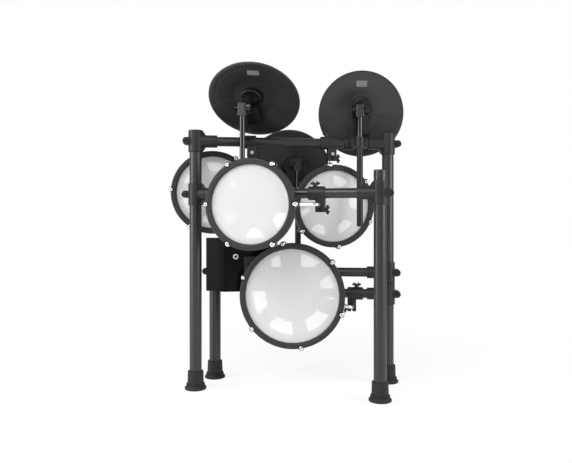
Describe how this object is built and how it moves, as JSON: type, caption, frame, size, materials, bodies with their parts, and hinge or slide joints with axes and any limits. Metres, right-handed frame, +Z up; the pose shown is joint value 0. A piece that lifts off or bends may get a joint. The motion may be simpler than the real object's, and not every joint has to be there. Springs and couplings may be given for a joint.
{
  "type": "electronic drum kit",
  "caption": "Electronic drum kit folded on a tubular rack, with mesh pads on clamped rods, rubber cymbals on tilting arms and a wedge-shaped sound module.",
  "frame": {"origin": "on the floor under the middle of the kit's box", "axes": "+Z up, +X to the viewer's right along the rack, +Y away from the viewer"},
  "size_m": [0.6502, 0.3377, 0.8567],
  "materials": {
    "rack_steel": "satin black paint",
    "clamp_plastic": "fine matte",
    "foot_rubber": "matte",
    "hoop_rubber": "matte",
    "mesh_head": "fine woven mesh",
    "chrome": "polished",
    "chrome_arm": "polished rod with a dark tilter block",
    "pad_shell": "moulded",
    "sensor_foam": "foam",
    "cymbal_rubber": "matte",
    "hub_plastic": "satin",
    "module_case": "fine matte",
    "module_panel": "gloss",
    "module_dial": "satin, pale ring",
    "module_keys": "matte"
  },
  "bodies": {
    "rack": {"left_main_leg": "rack_steel", "right_main_leg": "rack_steel", "main_feet": "foot_rubber", "top_crossbar": "rack_steel", "top_clamps": "clamp_plastic", "right_tom_clamp": "clamp_plastic", "left_tom_clamp": "clamp_plastic", "right_cymbal_arm_clamp": "clamp_plastic"},
    "front_wing": {"front_wing_bar": "rack_steel", "front_wing_clamps": "clamp_plastic", "front_wing_leg": "rack_steel", "front_wing_foot": "foot_rubber", "front_tom_clamp": "clamp_plastic", "left_cymbal_arm_clamp": "clamp_plastic"},
    "rear_wing": {"rear_wing_bar": "rack_steel", "rear_wing_clamps": "clamp_plastic", "rear_wing_leg": "rack_steel", "rear_wing_foot": "foot_rubber", "rear_cymbal_arm_clamp": "clamp_plastic"},
    "snare_arm": {"snare_arm_bar": "rack_steel", "snare_arm_clamp": "clamp_plastic", "snare_clamp": "clamp_plastic"},
    "module": {"module_case": "module_case", "module_panel": "module_panel", "module_bracket": "clamp_plastic"},
    "dial": {"module_dial": "module_dial"},
    "keypad": {"module_keypad": "module_keys"},
    "front_tom_rod": {"front_tom_rod": "chrome"},
    "front_tom_pad": {"front_tom_shell": "pad_shell", "front_tom_hoop": "hoop_rubber", "front_tom_head": "mesh_head", "front_tom_lug_screws": "chrome", "front_tom_sensor": "sensor_foam"},
    "right_tom_rod": {"right_tom_rod": "chrome"},
    "right_tom_pad": {"right_tom_shell": "pad_shell", "right_tom_hoop": "hoop_rubber", "right_tom_head": "mesh_head", "right_tom_lug_screws": "chrome", "right_tom_sensor": "sensor_foam"},
    "left_tom_rod": {"left_tom_rod": "chrome"},
    "left_tom_pad": {"left_tom_shell": "pad_shell", "left_tom_hoop": "hoop_rubber", "left_tom_head": "mesh_head", "left_tom_lug_screws": "chrome", "left_tom_sensor": "sensor_foam"},
    "snare_rod": {"snare_rod": "chrome"},
    "snare_pad": {"snare_shell": "pad_shell", "snare_hoop": "hoop_rubber", "snare_head": "mesh_head", "snare_lug_screws": "chrome", "snare_sensor": "sensor_foam"},
    "left_cymbal_arm": {"left_cymbal_arm": "chrome_arm"},
    "left_cymbal_top": {"left_cymbal_hub": "hub_plastic", "left_cymbal": "cymbal_rubber"},
    "right_cymbal_arm": {"right_cymbal_arm": "chrome_arm"},
    "right_cymbal_top": {"right_cymbal_hub": "hub_plastic", "right_cymbal": "cymbal_rubber"},
    "rear_cymbal_arm": {"rear_cymbal_arm": "chrome_arm"},
    "rear_cymbal_top": {"rear_cymbal_hub": "hub_plastic", "rear_cymbal": "cymbal_rubber"}
  },
  "joints": [
    {"name": "front_wing_fold", "type": "hinge", "parent": "rack", "child": "front_wing", "pos_m": [-0.246, -0.012, 0.514], "axis": [0, 0, 1], "range_deg": [-100, 0]},
    {"name": "rear_wing_fold", "type": "hinge", "parent": "rack", "child": "rear_wing", "pos_m": [0.2731, 0.05174, 0.301], "axis": [0, 0, 1], "range_deg": [-100, 0]},
    {"name": "snare_arm_fold", "type": "hinge", "parent": "rack", "child": "snare_arm", "pos_m": [0.2731, 0.05174, 0.2425], "axis": [0, 0, 1], "range_deg": [0, 6]},
    {"name": "front_tom_swing", "type": "hinge", "parent": "front_wing", "child": "front_tom_rod", "pos_m": [0.08008, -0.08429, 0.485], "axis": [-0.2164, -0.9763, 0], "range_deg": [-40, 25]},
    {"name": "front_tom_turn", "type": "hinge", "parent": "front_tom_rod", "child": "front_tom_pad", "pos_m": [-0.08716, -0.09945, 0.485], "axis": [0.9763, -0.2164, 0], "range_deg": [-4, 4]},
    {"name": "right_tom_swing", "type": "hinge", "parent": "rack", "child": "right_tom_rod", "pos_m": [0.11703, 0.03461, 0.62507], "axis": [0.1216, -0.9901, -0.0698], "range_deg": [-22, 3]},
    {"name": "right_tom_turn", "type": "hinge", "parent": "right_tom_rod", "child": "right_tom_pad", "pos_m": [0.11673, 0.07772, 0.4858], "axis": [-0.0261, -0.0734, 0.997], "range_deg": [0, 10]},
    {"name": "left_tom_swing", "type": "hinge", "parent": "rack", "child": "left_tom_rod", "pos_m": [-0.09917, 0.00654, 0.625], "axis": [0.1219, -0.9924, -0.0175], "range_deg": [-12, 4]},
    {"name": "left_tom_turn", "type": "hinge", "parent": "left_tom_rod", "child": "left_tom_pad", "pos_m": [-0.21225, 0.08214, 0.52169], "axis": [0.6972, 0.0731, 0.7131], "range_deg": [-3, 3]},
    {"name": "snare_swing", "type": "hinge", "parent": "snare_arm", "child": "snare_rod", "pos_m": [0.17511, 0.06169, 0.2135], "axis": [-0.1011, -0.9949, 0], "range_deg": [-3, 20]},
    {"name": "snare_turn", "type": "hinge", "parent": "snare_rod", "child": "snare_pad", "pos_m": [0.01263, 0.01085, 0.24677], "axis": [0.9731, -0.0988, -0.2079], "range_deg": [-3, 3]},
    {"name": "left_cymbal_height", "type": "slide", "parent": "front_wing", "child": "left_cymbal_arm", "axis": [0, 0, 1], "range_m": [-0.02, 0.06]},
    {"name": "left_cymbal_tilt", "type": "hinge", "parent": "left_cymbal_arm", "child": "left_cymbal_top", "pos_m": [-0.11864, -0.06584, 0.733], "axis": [0.9848, -0.1736, 0], "range_deg": [-8, 25]},
    {"name": "right_cymbal_height", "type": "slide", "parent": "rack", "child": "right_cymbal_arm", "axis": [0, 0, 1], "range_m": [-0.02, 0.06]},
    {"name": "right_cymbal_tilt", "type": "hinge", "parent": "right_cymbal_arm", "child": "right_cymbal_top", "pos_m": [0.19178, 0.01656, 0.744], "axis": [1, 0, 0], "range_deg": [-8, 20]},
    {"name": "rear_cymbal_height", "type": "slide", "parent": "rear_wing", "child": "rear_cymbal_arm", "axis": [0, 0, 1], "range_m": [-0.02, 0.06]},
    {"name": "rear_cymbal_tilt", "type": "hinge", "parent": "rear_cymbal_arm", "child": "rear_cymbal_top", "pos_m": [0.02691, 0.10187, 0.606], "axis": [1, 0, 0], "range_deg": [0, 12]},
    {"name": "module_tilt", "type": "hinge", "parent": "rear_wing", "child": "module", "pos_m": [-0.11099, 0.09075, 0.301], "axis": [0.9949, -0.1011, 0], "range_deg": [-3, 3]},
    {"name": "dial_spin", "type": "hinge", "parent": "module", "child": "dial", "pos_m": [-0.14412, 0.03428, 0.346], "axis": [0.1631, -0.9866, 0], "continuous": true},
    {"name": "keypad_press", "type": "slide", "parent": "module", "child": "keypad", "axis": [-0.1631, 0.9866, 0], "range_m": [0, 0.0012], "stiffness_N_per_m": 800}
  ]
}
